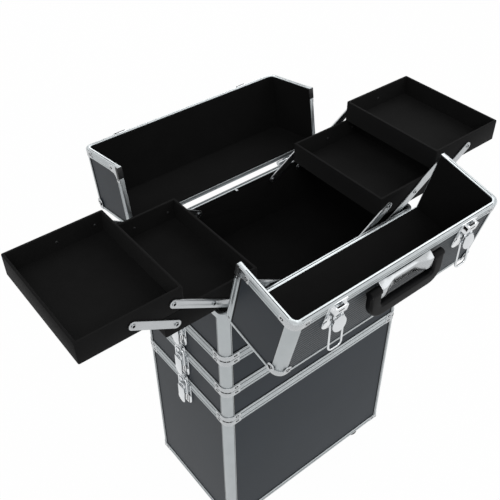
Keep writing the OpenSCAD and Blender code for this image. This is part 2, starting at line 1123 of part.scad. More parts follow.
module trolley_handle() {
  grip_z = tube_z + tube_l + seat_gap;
  depth = 2 * tube_r + 2;
  color("#232426")
    translate([0, tube_y, 0]) {
      for (x = [-tube_x, tube_x])
        translate([x, 0, tube_z + tube_wall + slide_fit])
          cylinder(r = bar_r, h = tube_l);
      translate([0, 0, grip_z])
        linear_extrude(trolley_h)
          rounded_rect(2 * (tube_x + trolley_over), depth, depth / 3);
    }
}

// Pieces by name

module top_latch_lever_left() {
  top_lever(-1);
}

module top_latch_lever_right() {
  top_lever(1);
}

module top_latch_bail_left() {
  top_bail(-1);
}

module top_latch_bail_right() {
  top_bail(1);
}

base_panels();
base_frame();
section_c_panels();
section_c_frame();
section_b_panels();
section_b_frame();
body_panels();
body_frame();
body_lining();
steel_corners();
side_latch_plates();
side_latch_keepers();
fixed_hinge_leaves();
hinge_pins();
arm_pivots();
wheel_housings();
axles();
front_feet();
trolley_tubes();
front_half_panels();
front_half_frame();
front_half_lining();
front_hinge_leaves();
top_latch_plates();
handle_mount();
handle_grip();
top_latch_lever_left();
top_latch_lever_right();
top_latch_bail_left();
top_latch_bail_right();
back_lid_panels();
back_lid_frame();
back_lid_lining();
back_hinge_leaves();
latch_keepers();
left_lower_tray();
left_upper_tray();
right_lower_tray();
right_upper_tray();
left_long_arms();
left_short_arms();
left_links();
right_long_arms();
right_short_arms();
right_links();
side_lever(-1, 0);  // left_lever_top
side_lever(-1, 1);  // left_lever_middle
side_lever(-1, 2);  // left_lever_bottom
side_lever(1, 0);  // right_lever_top
side_lever(1, 1);  // right_lever_middle
side_lever(1, 2);  // right_lever_bottom
side_bail(-1, 0);  // left_bail_top
side_bail(-1, 1);  // left_bail_middle
side_bail(-1, 2);  // left_bail_bottom
side_bail(1, 0);  // right_bail_top
side_bail(1, 1);  // right_bail_middle
side_bail(1, 2);  // right_bail_bottom
left_wheel();
right_wheel();
trolley_handle();
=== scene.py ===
import json
import math

import bmesh
import bpy
from bpy.props import FloatProperty, FloatVectorProperty, PointerProperty
from mathutils import Matrix, Vector

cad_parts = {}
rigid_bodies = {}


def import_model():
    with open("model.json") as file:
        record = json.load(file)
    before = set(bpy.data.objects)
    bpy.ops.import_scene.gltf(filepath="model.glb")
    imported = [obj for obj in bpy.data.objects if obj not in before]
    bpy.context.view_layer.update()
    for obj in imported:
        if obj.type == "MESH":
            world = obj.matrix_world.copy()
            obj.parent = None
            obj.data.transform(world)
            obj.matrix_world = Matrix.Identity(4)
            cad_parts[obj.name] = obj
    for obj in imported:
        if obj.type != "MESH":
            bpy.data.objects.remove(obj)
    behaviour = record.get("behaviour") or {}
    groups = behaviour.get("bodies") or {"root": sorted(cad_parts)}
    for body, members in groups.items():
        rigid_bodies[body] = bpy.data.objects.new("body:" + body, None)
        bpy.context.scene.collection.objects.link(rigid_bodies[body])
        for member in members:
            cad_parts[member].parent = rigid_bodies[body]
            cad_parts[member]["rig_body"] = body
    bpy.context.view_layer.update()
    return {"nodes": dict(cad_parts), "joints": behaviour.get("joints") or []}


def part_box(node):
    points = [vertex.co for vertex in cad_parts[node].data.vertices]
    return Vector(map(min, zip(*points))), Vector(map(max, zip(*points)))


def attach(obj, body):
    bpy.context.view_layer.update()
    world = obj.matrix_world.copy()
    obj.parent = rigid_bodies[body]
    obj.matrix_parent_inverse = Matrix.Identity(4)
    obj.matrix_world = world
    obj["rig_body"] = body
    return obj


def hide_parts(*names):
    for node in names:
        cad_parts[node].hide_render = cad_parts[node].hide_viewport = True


bl_info = {
    "name": "Rolling makeup case",
    "version": (1, 0, 0),
    "blender": (4, 5, 0),
    "location": "View3D > Sidebar > Makeup case",
    "description": "Dresses a rolling makeup case with its trims, fittings and finishes",
    "category": "Object",
}

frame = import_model()
MM = 0.001


def srgb(code):
    """Linear RGBA of an sRGB hex colour."""
    channels = [int(code[i:i + 2], 16) / 255 for i in (1, 3, 5)]
    linear = [c / 12.92 if c <= 0.04045 else ((c + 0.055) / 1.055) ** 2.4 for c in channels]
    return (*linear, 1.0)


def length(name, description, default):
    """A length property in metres, its default given in millimetres."""
    return FloatProperty(name=name, description=description, default=default * MM, unit="LENGTH",
                         min=0, precision=5)


def colour(name, description, code):
    """A colour property with an sRGB hex default."""
    return FloatVectorProperty(name=name, description=description, default=srgb(code), size=4,
                               subtype="COLOR", min=0, max=1)


class CaseSizes(bpy.types.PropertyGroup):
    """Sizes of the dressing on the case."""

    # the ribs are about 5 mm apart; they are drawn coarser so that they show at the picture's size
    rib_pitch: length("Rib pitch", "Distance from one rib of the laminate to the next", 6.6)
    rib_width: length("Rib width", "Width of one rib", 3.2)
    rib_height: length("Rib height", "Height of one rib above the panel", 0.3)
    ridge_width: length("Ridge width", "Width of a ridge along the trims", 2.0)
    ridge_height: length("Ridge height", "Height of a ridge along the trims", 0.7)
    edge: length("Edge", "Rounding of the metal trims' edges", 0.4)
    tray_edge: length("Tray edge", "Rounding of the flocked trays' rims", 0.9)
    tray_corner: length("Tray corner", "Rounding of the flocked trays' upright corners", 2.0)
    # the dark grooves are strips of painted shade, and the dark seams painted shadow where the trims stand
    # over the panels
    groove: length("Groove", "Width of the dark grooves along the trims", 0.9)
    seam: length("Seam", "Width of the dark seam between a panel and its trims", 2.0)
    rivet: length("Rivet", "Diameter of the rivets' heads", 2.2)
    rivet_height: length("Rivet height", "Height of a rivet's head", 0.7)
    # a rivet's recess is a dark disc of painted shade
    rivet_rim: length("Rivet rim", "Length of the dark recess round a rivet", 6.4)
    bracket: length("Bracket", "Thickness of the steel brackets on the lid halves", 0.8)


class CaseColours(bpy.types.PropertyGroup):
    """Colours of the case's finishes."""

    panel: colour("Panel", "Smooth laminate on the panels", "#2a3138")
    # the ribs are painted paler as a highlight, and the grooves between them darker as painted shade
    rib: colour("Rib", "Ribs of the lid's laminate, painted paler as a highlight", "#52595f")
    rib_groove: colour("Rib groove", "Shaded grooves between the ribs", "#171b1e")
    trim: colour("Trim", "Anodised aluminium trims", "#b2b7b9")
    steel: colour("Steel", "Pressed steel corners and arms", "#b9bcbe")
    chrome: colour("Chrome", "Plated latches and fittings", "#d6d9db")
    lining: colour("Lining", "Cloth lining", "#0c0c0c")
    flock: colour("Flock", "Flocked trays", "#0f0f0f")
    grip: colour("Grip", "Moulded grip", "#0c0c0d")
    # painted shade: the dark of the rivet recesses, grooves, seams, slots and gaps
    plastic: colour("Plastic", "Moulded black fittings", "#18191a")
    painted_shade: colour("Painted shade", "Painted shade in rivet recesses, grooves and slots", "#0e0f10")
    rubber: colour("Rubber", "Wheel tyres", "#1c1d1f")


def sizes():
    return bpy.context.scene.case_sizes


def colours():
    return bpy.context.scene.case_colours


# Sizes that the dressing shares with the solids, in metres
CASE_W = 380 * MM
CASE_D = 224 * MM
TRIM = 1.5 * MM
BAND = 11 * MM
POST = 15 * MM
PLATE = 0.8 * MM
PLATE_LEG = 27 * MM
CORNER_R = 13 * MM
HALF_W = 378 * MM
HALF_H = 109 * MM
HALF_R = 14 * MM
HALF_POST = 14.5 * MM
FRONT_DEPTH = 120 * MM
BACK_DEPTH = 104 * MM
HINGE_OUT = 5 * MM
PART_GAP = 0.3 * MM
PART_BAND = 13 * MM
FOOT_BAND = 10 * MM
EDGE_LEG = 4 * MM
HALF_LIFT = 0.4 * MM
LINING = 1 * MM
TRAY_D = 200 * MM
TRAY_WALL = 4 * MM
TRAY_FLOOR = 3 * MM
PIVOT = 4 * MM
PIVOT_HEAD = 6.6 * MM
PIVOT_RIM = 0.8 * MM
PIVOT_SEAT = 1 * MM
PIVOT_PITCH = 59 * MM
LATCH_X = 121 * MM
LATCH_PLATE = 1.2 * MM
MOUNT_GAP = 0.7 * MM
TROLLEY_GRIP = 26.5 * MM

# How far the lid halves stand open and the tray arms rise, in degrees
FRONT_OPEN = 103.3
BACK_OPEN = 99.4
ARM_RISE = 31.5

# Sizes and places of the dressing, in metres
LINE_LIFT = 0.2 * MM
SLOT_LIFT = 0.3 * MM
BRACKET_LEG = 12 * MM
FOOT_LEG = 26 * MM
# the grooves and lines placed here are dark strips of painted shade
RIM_GROOVE = 3.4 * MM
RIM_LINE = 1.3 * MM
POST_LINE = 0.7 * MM
POST_LINE_IN = POST - 1.6 * MM
BAND_RIDGES = (2.6 * MM, BAND - 2.6 * MM)
PART_RIDGES = (1.6 * MM, PART_BAND / 2, PART_BAND - 1.6 * MM)
PART_GROOVES = (3.6 * MM, PART_BAND - 3.8 * MM)
FOOT_RIDGES = (2.6 * MM, FOOT_BAND - 2.2 * MM)

SECTIONS = ("base", "section_c", "section_b", "body")
FRAMED = SECTIONS + ("front_half", "back_lid")
SIDES = ("left", "right")
ENDS = (-1, 1)
CORNERS = ((-1, -1), (1, -1), (1, 1), (-1, 1))
X, Y, Z = (1, 0, 0), (0, 1, 0), (0, 0, 1)


def joint_place(name):
    """Where a joint of the case sits."""
    return Vector(next(j["pos_m"] for j in frame["joints"] if j["name"] == name))


def half_matrix(joint, opened, depth):
    """Carries a lid half drawn shut, rim at z = 0 and joint line at y = 0, to where it stands open."""
    hinge = joint_place(joint)
    turn = (Matrix.Translation((0, -abs(hinge.y), hinge.z)) @ Matrix.Rotation(math.radians(opened), 4, "X")
            @ Matrix.Translation((0, depth + HINGE_OUT, 0)))
    return Matrix.Scale(-1, 4, Y) @ turn if hinge.y > 0 else turn


FRONT = half_matrix("front_half_swing", FRONT_OPEN, FRONT_DEPTH)
BACK = half_matrix("back_lid_swing", BACK_OPEN, BACK_DEPTH)
HALVES = (("front_half", FRONT, FRONT_DEPTH), ("back_lid", BACK, BACK_DEPTH))


# Materials

def node(tree, kind, settings=None, inputs=None):
    """Adds a node, sets its settings, and fills its inputs with values or with (node, output)."""
    made = tree.nodes.new(kind)
    for key, value in (settings or {}).items():
        setattr(made, key, value)
    for key, value in (inputs or {}).items():
        if isinstance(value, tuple) and isinstance(value[0], bpy.types.Node):
            tree.links.new(value[0].outputs[value[1]], made.inputs[key])
        else:
            made.inputs[key].default_value = value
    return made


def per_metre(millimetres):
    """Texture scale that repeats once in so many millimetres."""
    return 1 / (millimetres * MM)


def patches(where, millimetres, detail, output="Object"):
    """Inputs of a noise whose patches are so many millimetres across."""
    return {"Vector": (where, output), "Scale": per_metre(millimetres), "Detail": detail}


def start_material(name):
    """The material of that name if it is made, or else a new one with its tree emptied."""
    known = bpy.data.materials.get(name)
    if known:
        return known, None
    made = bpy.data.materials.new(name)
    made.use_nodes = True
    made.node_tree.nodes.clear()
    return made, made.node_tree


def close_material(tree, shader):
    node(tree, "ShaderNodeOutputMaterial", inputs={"Surface": (shader, "BSDF")})


def toned(base, factor):
    """A colour made darker or paler."""
    return [min(1, c * factor) for c in base[:3]] + [1]


def grained_finish(name, base, rough, grain, specular, patch=35, tones=(0.8, 1.25), relief=0.2):
    """A finish with a grain, in millimetres, in its gloss and relief, and shades that drift over it."""
    made, tree = start_material(name)
    if tree:
        where = node(tree, "ShaderNodeTexCoord")
        fine = node(tree, "ShaderNodeTexNoise", inputs=patches(where, grain, 3.0))
        drift = node(tree, "ShaderNodeTexNoise", inputs=patches(where, patch, 4.0))
        shade = node(tree, "ShaderNodeMix", {"data_type": "RGBA"},
                     {0: (drift, "Fac"), 6: toned(base, tones[0]), 7: toned(base, tones[1])})
        gloss = node(tree, "ShaderNodeMapRange",
                     inputs={"Value": (fine, "Fac"), "To Min": rough[0], "To Max": rough[1]})
        bump = node(tree, "ShaderNodeBump",
                    inputs={"Height": (fine, "Fac"), "Strength": relief, "Distance": 0.1 * MM})
        shader = node(tree, "ShaderNodeBsdfPrincipled", inputs={
            "Base Color": (shade, 2), "Roughness": (gloss, "Result"), "Normal": (bump, "Normal"),
            "Specular IOR Level": specular, "IOR": 1.5})
        close_material(tree, shader)
    return made


def abs_laminate(name, base):
    """ABS sheet pressed on board: satin charcoal with a fine moulded grain."""
    return grained_finish(name, base, (0.36, 0.56), 0.7, 0.15, patch=90, tones=(0.86, 1.14), relief=0.25)


def brushed_metal(name, base, rough, streak, stretch=(1, 1, 1), turn=(0, 0, 0), depth=0.03 * MM):
    """A metal with fine streaks along the way it was drawn or brushed."""
    made, tree = start_material(name)
    if tree:
        where = node(tree, "ShaderNodeTexCoord")
        laid = node(tree, "ShaderNodeMapping", inputs={
            "Vector": (where, "Object"), "Rotation": turn, "Scale": stretch})
        lines = node(tree, "ShaderNodeTexNoise", inputs=patches(laid, streak, 3.0, "Vector"))
        smear = node(tree, "ShaderNodeTexNoise", inputs=patches(where, 25, 3.0))
        tint = node(tree, "ShaderNodeMix", {"data_type": "RGBA"},
                    {0: (smear, "Fac"), 6: toned(base, 0.9), 7: toned(base, 1.08)})
        spread = node(tree, "ShaderNodeMapRange", inputs={
            "Value": (lines, "Fac"), "To Min": rough * 0.75, "To Max": rough * 1.25})
        bump = node(tree, "ShaderNodeBump",
                    inputs={"Height": (lines, "Fac"), "Strength": 0.3, "Distance": depth})
        shader = node(tree, "ShaderNodeBsdfPrincipled", inputs={
            "Base Color": (tint, 2), "Metallic": 1.0, "Roughness": (spread, "Result"),
            "Normal": (bump, "Normal")})
        close_material(tree, shader)
    return made


def anodised_aluminium():
    """Extruded and satin anodised: pale grey with soft highlights."""
    return brushed_metal("Anodised aluminium", colours().trim, 0.36, 0.5)


def pressed_steel():
    """Zinc plated pressed steel: brighter than the trims, a little mottled."""
    return brushed_metal("Pressed zinc plated steel", colours().steel, 0.26, 1.2)


def strip_steel(side):
    """Cold rolled flat strip: streaks run along the arm, which rises outwards."""
    rise = math.radians(ARM_RISE) * (1 if side == "left" else -1)
    return brushed_metal(f"Cold rolled steel strip {side}", colours().steel, 0.3, 0.6,
                         (0.06, 1, 1), (0, -rise, 0))


def chrome_plate():
    """Bright nickel-chrome plating on pressed steel: nearly a mirror, with faint waviness."""
    return brushed_metal("Chrome plate", colours().chrome, 0.1, 6, depth=0.06 * MM)


def woven_lining():
    """Tight polyester lining: black, matt, with a fine plain weave."""
    made, tree = start_material("Woven polyester lining")
    if tree:
        where = node(tree, "ShaderNodeTexCoord")
        # a thread is about 0.3 mm; it is drawn at 1.1 mm so that the weave shows
        weave = node(tree, "ShaderNodeTexVoronoi", {"feature": "F1"},
                     {"Vector": (where, "Object"), "Scale": per_metre(1.1), "Randomness": 0.25})
        lint = node(tree, "ShaderNodeTexNoise", inputs=patches(where, 40, 5.0))
        base = colours().lining
        shade = node(tree, "ShaderNodeMix", {"data_type": "RGBA"},
                     {0: (lint, "Fac"), 6: toned(base, 0.7), 7: toned(base, 1.5)})
        bump = node(tree, "ShaderNodeBump",
                    inputs={"Height": (weave, "Distance"), "Strength": 0.35, "Distance": 0.3 * MM})
        shader = node(tree, "ShaderNodeBsdfPrincipled", inputs={
            "Base Color": (shade, 2), "Roughness": 0.92, "Normal": (bump, "Normal"),
            "Specular IOR Level": 0.08, "Sheen Weight": 0.02, "Sheen Roughness": 0.5})
        close_material(tree, shader)
    return made


def flocked_plastic():
    """Moulded tray coated with short nylon flock: deep black, velvety, paler on its convex edges."""
    made, tree = start_material("Flocked tray")
    if tree:
        where = node(tree, "ShaderNodeTexCoord")
        pile = node(tree, "ShaderNodeTexNoise", inputs=patches(where, 0.9, 2.0))
        patch = node(tree, "ShaderNodeTexNoise", inputs=patches(where, 30, 5.0))
        edge = node(tree, "ShaderNodeNewGeometry")
        # the convex edges, picked by their pointiness, turn paler, towards #2c2c2d
        edge_mask = node(tree, "ShaderNodeMapRange", inputs={
            "Value": (edge, "Pointiness"), "From Min": 0.52, "From Max": 0.6, "To Max": 0.35})
        base = colours().flock
        shade = node(tree, "ShaderNodeMix", {"data_type": "RGBA"},
                     {0: (patch, "Fac"), 6: toned(base, 0.7), 7: toned(base, 1.5)})
        paled_edges = node(tree, "ShaderNodeMix", {"data_type": "RGBA"}, {
            0: (edge_mask, "Result"), 6: (shade, 2), 7: srgb("#2c2c2d")})
        bump = node(tree, "ShaderNodeBump",
                    inputs={"Height": (pile, "Fac"), "Strength": 0.5, "Distance": 0.4 * MM})
        shader = node(tree, "ShaderNodeBsdfPrincipled", inputs={
            "Base Color": (paled_edges, 2), "Roughness": 0.95, "Normal": (bump, "Normal"),
            "Specular IOR Level": 0.12, "Sheen Weight": 0.06, "Sheen Roughness": 0.4})
        close_material(tree, shader)
    return made


def grip_plastic():
    """Nylon grip: satin black, smooth to the hand."""
    return grained_finish("Satin nylon grip", colours().grip, (0.36, 0.54), 0.8, 0.08)


def black_fitting():
    """Polypropylene fittings: matt black with a spark-eroded texture."""
    return grained_finish("Moulded polypropylene", colours().plastic, (0.4, 0.6), 0.5, 0.5)


def painted_shade_steel():
    """Painted shade in rivet recesses and slots: dark and a little shiny, like steel."""
    return grained_finish("Painted shade dark steel", colours().painted_shade, (0.4, 0.6), 0.6, 0.15)


def tyre_rubber():
    """Solid rubber tyre: dull black."""
    return grained_finish("Solid rubber", colours().rubber, (0.6, 0.9), 1.2, 0.3)


# Meshes

ROUNDED_FROM = math.radians(32)
FLAT_WITHIN = math.radians(0.6)
WELD = 1e-6


def finish_mesh(mesh, angle=35):
    """Smooth shading with the hard edges kept."""
    mesh.polygons.foreach_set("use_smooth", [True] * len(mesh.polygons))
    mesh.set_sharp_from_angle(angle=math.radians(angle))
    mesh.update()


def placed(name, data):
    """An object with that data, in the scene."""
    made = bpy.data.objects.new(name, data)
    bpy.context.scene.collection.objects.link(made)
    return made


def settle(name, mesh, materials, body, slot, stands_for=(), pick=None):
    """Makes a finished mesh a piece that rides on a body; pick gives each face's material number."""
    mesh.materials.clear()
    for material in materials:
        mesh.materials.append(material)
    if pick:
        mesh.polygons.foreach_set("material_index", [pick(face.center) for face in mesh.polygons])
    piece = placed(name, mesh)
    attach(piece, body)
    if stands_for:
        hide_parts(*stands_for)


def evaluated_mesh(piece):
    """The mesh that a piece's modifiers give."""
    return bpy.data.meshes.new_from_object(piece.evaluated_get(bpy.context.evaluated_depsgraph_get()))


def rounded(form, name, width, segments=2):
    """The mesh of a form with its edges rounded; the form is used up."""
    mesh = bpy.data.meshes.new(name + "_form")
    form.to_mesh(mesh)
    form.free()
    carrier = placed(name + "_form", mesh)
    rounding = carrier.modifiers.new("Edges", "BEVEL")
    rounding.width = width
    rounding.segments = segments
    rounding.limit_method = "ANGLE"
    rounding.angle_limit = ROUNDED_FROM
    made = evaluated_mesh(carrier)
    bpy.data.objects.remove(carrier)
    bpy.data.meshes.remove(mesh)
    finish_mesh(made)
    return made


def dressed(node_name, materials, width, slot, pick=None, segments=2):
    """Stands a copy with rounded edges in a solid's place."""
    form = bmesh.new()
    form.from_mesh(frame["nodes"][node_name].data)
    bmesh.ops.remove_doubles(form, verts=form.verts, dist=WELD)
    bmesh.ops.dissolve_limit(form, angle_limit=FLAT_WITHIN, verts=form.verts, edges=form.edges)
    mesh = rounded(form, node_name, width, segments)
    body = frame["nodes"][node_name]["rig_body"]
    settle(node_name + "_dressed", mesh, materials, body, slot, (node_name,), pick)


def paint(node_name, material):
    """Gives a solid its finish."""
    mesh = frame["nodes"][node_name].data
    mesh.materials.clear()
    mesh.materials.append(material)


def corner_path(leg):
    """A path up a lid half's wall, round its corner and along its top: places with outward directions."""
    x, z = HALF_W / 2 - HALF_R, HALF_H - HALF_R
    path = [((HALF_W / 2, z - leg), (1, 0))]
    path += [((x + HALF_R * du, z + HALF_R * dv), (du, dv)) for du, dv in arc((0, 0), 1, 0, 90, 10)]
    return path + [((x - leg, HALF_H), (0, 1))]


def skin(form, rings):
    """Adds the faces between each ring of points and the next, and closes both ends."""
    for near, far in zip(rings, rings[1:]):
        for i in range(len(near)):
            form.faces.new((near[i - 1], near[i], far[i], far[i - 1]))
    form.faces.new(rings[0])
    form.faces.new(rings[-1])
    bmesh.ops.recalc_face_normals(form, faces=form.faces)


def bent_plate(form, path, low, high, thick, place):
    """Adds a plate bent along a path; place gives the point of (along, up, across)."""
    skin(form, [[form.verts.new(place(u + du * lift, v + dv * lift, across))
                 for lift, across in ((0, low), (0, high), (thick, high), (thick, low))]
                for (u, v), (du, dv) in path])


def flat_plate(form, outline, low, high, place):
    """Adds a flat plate with an outline in its own plane; place gives the point of (u, v, level)."""
    skin(form, [[form.verts.new(place(u, v, level)) for u, v in outline] for level in (low, high)])


def arc(centre, radius, start, end, steps=8):
    """Points along an arc, the angles in degrees."""
    turns = [math.radians(start + (end - start) * i / steps) for i in range(steps + 1)]
    return [(centre[0] + radius * math.cos(t), centre[1] + radius * math.sin(t)) for t in turns]


def rounded_outline(middle, width, depth, radius):
    """Outline of a rectangle with rounded corners."""
    points = []
    for sx, sy, start in ((1, 1, 0), (-1, 1, 90), (-1, -1, 180), (1, -1, 270)):
        corner = (middle.x + sx * (width / 2 - radius), middle.y + sy * (depth / 2 - radius))
        points += arc(corner, radius, start, start + 90, 3)
    return points


def open_box(form, outer, inner, low, floor, high):
    """Adds a box open at the top, between an outer and an inner outline with as many points."""
    skin(form, [[form.verts.new((x, y, z)) for x, y in outline]
                for outline, z in ((outer, low), (outer, high), (inner, high), (inner, floor))])


# Repeated small forms

SPOT_KEYS = ("outward", "along", "size")


def instance_tree(name, shape):
    """A tree that sets one small form on every point, turned and sized by the point's attributes."""
    known = bpy.data.node_groups.get(name)
    if known:
        return known
    tree = bpy.data.node_groups.new(name, "GeometryNodeTree")
    for title, way, kind in (("Points", "INPUT", "Geometry"), ("Finish", "INPUT", "Material"),
                             ("Form", "OUTPUT", "Geometry")):
        tree.interface.new_socket(title, in_out=way, socket_type=f"NodeSocket{kind}")
    given = node(tree, "NodeGroupInput")
    read = {key: node(tree, "GeometryNodeInputNamedAttribute", {"data_type": "FLOAT_VECTOR"}, {"Name": key})
            for key in SPOT_KEYS}
    stand = node(tree, "FunctionNodeAlignRotationToVector", {"axis": "Z"},
                 {"Vector": (read["outward"], "Attribute")})
    turned = node(tree, "FunctionNodeAlignRotationToVector", {"axis": "X", "pivot_axis": "Z"},
                  {"Rotation": (stand, "Rotation"), "Vector": (read["along"], "Attribute")})
    spread = node(tree, "GeometryNodeInstanceOnPoints", inputs={
        "Points": (given, "Points"), "Instance": shape(tree), "Rotation": (turned, "Rotation"),
        "Scale": (read["size"], "Attribute")})
    real = node(tree, "GeometryNodeRealizeInstances", inputs={"Geometry": (spread, "Instances")})
    coat = node(tree, "GeometryNodeSetMaterial",
                inputs={"Geometry": (real, "Geometry"), "Material": (given, "Finish")})
    node(tree, "NodeGroupOutput", inputs={"Form": (coat, "Geometry")})
    return tree


def rib_shape(tree):
    """A bar of unit length along X, its lower half sunk."""
    rod = node(tree, "GeometryNodeMeshCylinder", {"fill_type": "NONE"},
               {"Vertices": 8, "Radius": 0.5, "Depth": 1.0})
    laid = node(tree, "GeometryNodeTransform",
                inputs={"Geometry": (rod, "Mesh"), "Rotation": (0, math.radians(90), 0)})
    return laid, "Geometry"


def dome_shape(tree):
    """A round head of unit diameter, its lower half sunk."""
    ball = node(tree, "GeometryNodeMeshUVSphere", inputs={"Segments": 14, "Rings": 8, "Radius": 0.5})
    return ball, "Mesh"


def slot_shape(tree):
    """A block of unit size, its lower half sunk."""
    block = node(tree, "GeometryNodeMeshCube", inputs={"Size": (1, 1, 1)})
    return block, "Mesh"


def disc_shape(tree):
    """A flat disc of unit diameter, its lower half sunk."""
    disc = node(tree, "GeometryNodeMeshCylinder", inputs={"Vertices": 20, "Radius": 0.5, "Depth": 1.0})
    return disc, "Mesh"


def scatter(name, tree, spots, finish, body, slot):
    """Sets a form on each spot, (place, outward, along, size), as one piece."""
    mesh = bpy.data.meshes.new(name)
    mesh.from_pydata([spot[0] for spot in spots], [], [])
    for column, key in enumerate(SPOT_KEYS, 1):
        values = [number for spot in spots for number in spot[column]]
        mesh.attributes.new(key, "FLOAT_VECTOR", "POINT").data.foreach_set("vector", values)
    carrier = placed(name + "_points", mesh)
    made_by = carrier.modifiers.new("Forms", "NODES")
    made_by.node_group = tree
    finish_input = next(item for item in tree.interface.items_tree if item.name == "Finish")
    made_by[finish_input.identifier] = finish
    made = evaluated_mesh(carrier)
    bpy.data.objects.remove(carrier)
    for key in SPOT_KEYS:
        if key in made.attributes:
            made.attributes.remove(made.attributes[key])
    finish_mesh(made, angle=60)
    settle(name, made, [finish], body, slot)


def turned_spot(matrix, place, outward, along, size):
    """A spot carried by a matrix."""
    turn = matrix.to_3x3()
    return matrix @ Vector(place), turn @ Vector(outward), turn @ Vector(along), size


def dark_slots(name, spots, body, slot):
    """Draws the painted shade in grooves, seams and slots as thin dark blocks, as one piece."""
    scatter(name, instance_tree("Slots", slot_shape), spots, painted_shade_steel(), body, slot)


def riveted(name, spots, body, up=Z):
    """Sets a rivet in a long recess, a dark disc of painted shade, on each spot, (place, outward); up lies
    across the recesses.
    """
    size = sizes()
    slim = 0.6  # a recess's width over its length
    # the recess is a flat dark disc of painted shade round the head
    recess = (size.rivet_rim, slim * size.rivet_rim, SLOT_LIFT)
    head = (size.rivet, size.rivet, 2 * size.rivet_height)
    for kind, shape, form, finish in (("recesses", disc_shape, recess, painted_shade_steel()),
                                      ("heads", dome_shape, head, pressed_steel())):
        scatter(f"{name}_{kind}", instance_tree(f"Rivet {kind}", shape),
                [(place, out, Vector(up).cross(Vector(out)), form) for place, out in spots],
                finish, body, "steel_plate")


def ridge(reach):
    """Size of a ridge so long."""
    return reach, sizes().ridge_width, 2 * sizes().ridge_height


def groove(reach):
    """Size of a dark strip of painted shade in a groove so long."""
    return reach, sizes().groove, LINE_LIFT


def stack_faces():
    """The stack's upright faces: outward, along, half the width and the distance from the middle."""
    for side in ENDS:
        yield (0, side, 0), X, CASE_W / 2, CASE_D / 2
        yield (side, 0, 0), Y, CASE_D / 2, CASE_W / 2


def section_levels(name):
    """Bottom and top of a section of the stack."""
    low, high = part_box(f"{name}_frame")
    return low.z, high.z


# Operators

class CASE_OT_ribbed_panels(bpy.types.Operator):
    """Finishes the panels and lays the ribs, painted paler as a highlight, and the grooves' dark strips of
    painted shade on the lid's
    """

    bl_idname = "case.ribbed_panels"
    bl_label = "Ribbed panels"

    def rows(self, low, high):
        """Rib places between two edges, a pitch apart."""
        pitch = sizes().rib_pitch
        count = int((high - low) / pitch)
        start = low + (high - low - (count - 1) * pitch) / 2
        return [start + i * pitch for i in range(count)]

    def execute(self, context):
        size = sizes()
        smooth = abs_laminate("Smooth ABS laminate", colours().panel)
        for name in FRAMED:
            paint(f"{name}_panels", smooth)
        # the ribs get a paler copy of the laminate as a painted highlight, and the grooves between them a
        # darker copy as painted shade
        paler = abs_laminate("ABS laminate ribs, painted highlight", colours().rib)
        darker = abs_laminate("ABS laminate rib grooves, painted shade", colours().rib_groove)
        gap = size.rib_pitch - size.rib_width
        kinds = (("ribs", "Ribs", rib_shape, paler, size.rib_width, 2 * size.rib_height, 0),
                 ("rib_grooves", "Rib grooves", slot_shape, darker, gap, LINE_LIFT, size.rib_pitch / 2))
        for name, matrix, depth in HALVES:
            for kind, title, shape, finish, width, height, shift in kinds:
                form = (HALF_W - 2 * HALF_POST, width, height)
                spots = [turned_spot(matrix, (0, y + shift, HALF_H - TRIM), Z, X, form)
                         for y in self.rows(-depth + EDGE_LEG, -PART_GAP - PART_BAND)]
                spots += [turned_spot(matrix, (0, -depth + TRIM, z + shift), (0, -1, 0), X, form)
                          for z in self.rows(HALF_LIFT + FOOT_BAND, HALF_H - EDGE_LEG)]
                scatter(f"{name}_{kind}", instance_tree(title, shape), spots, finish, name, "panel_laminate")
        return {"FINISHED"}


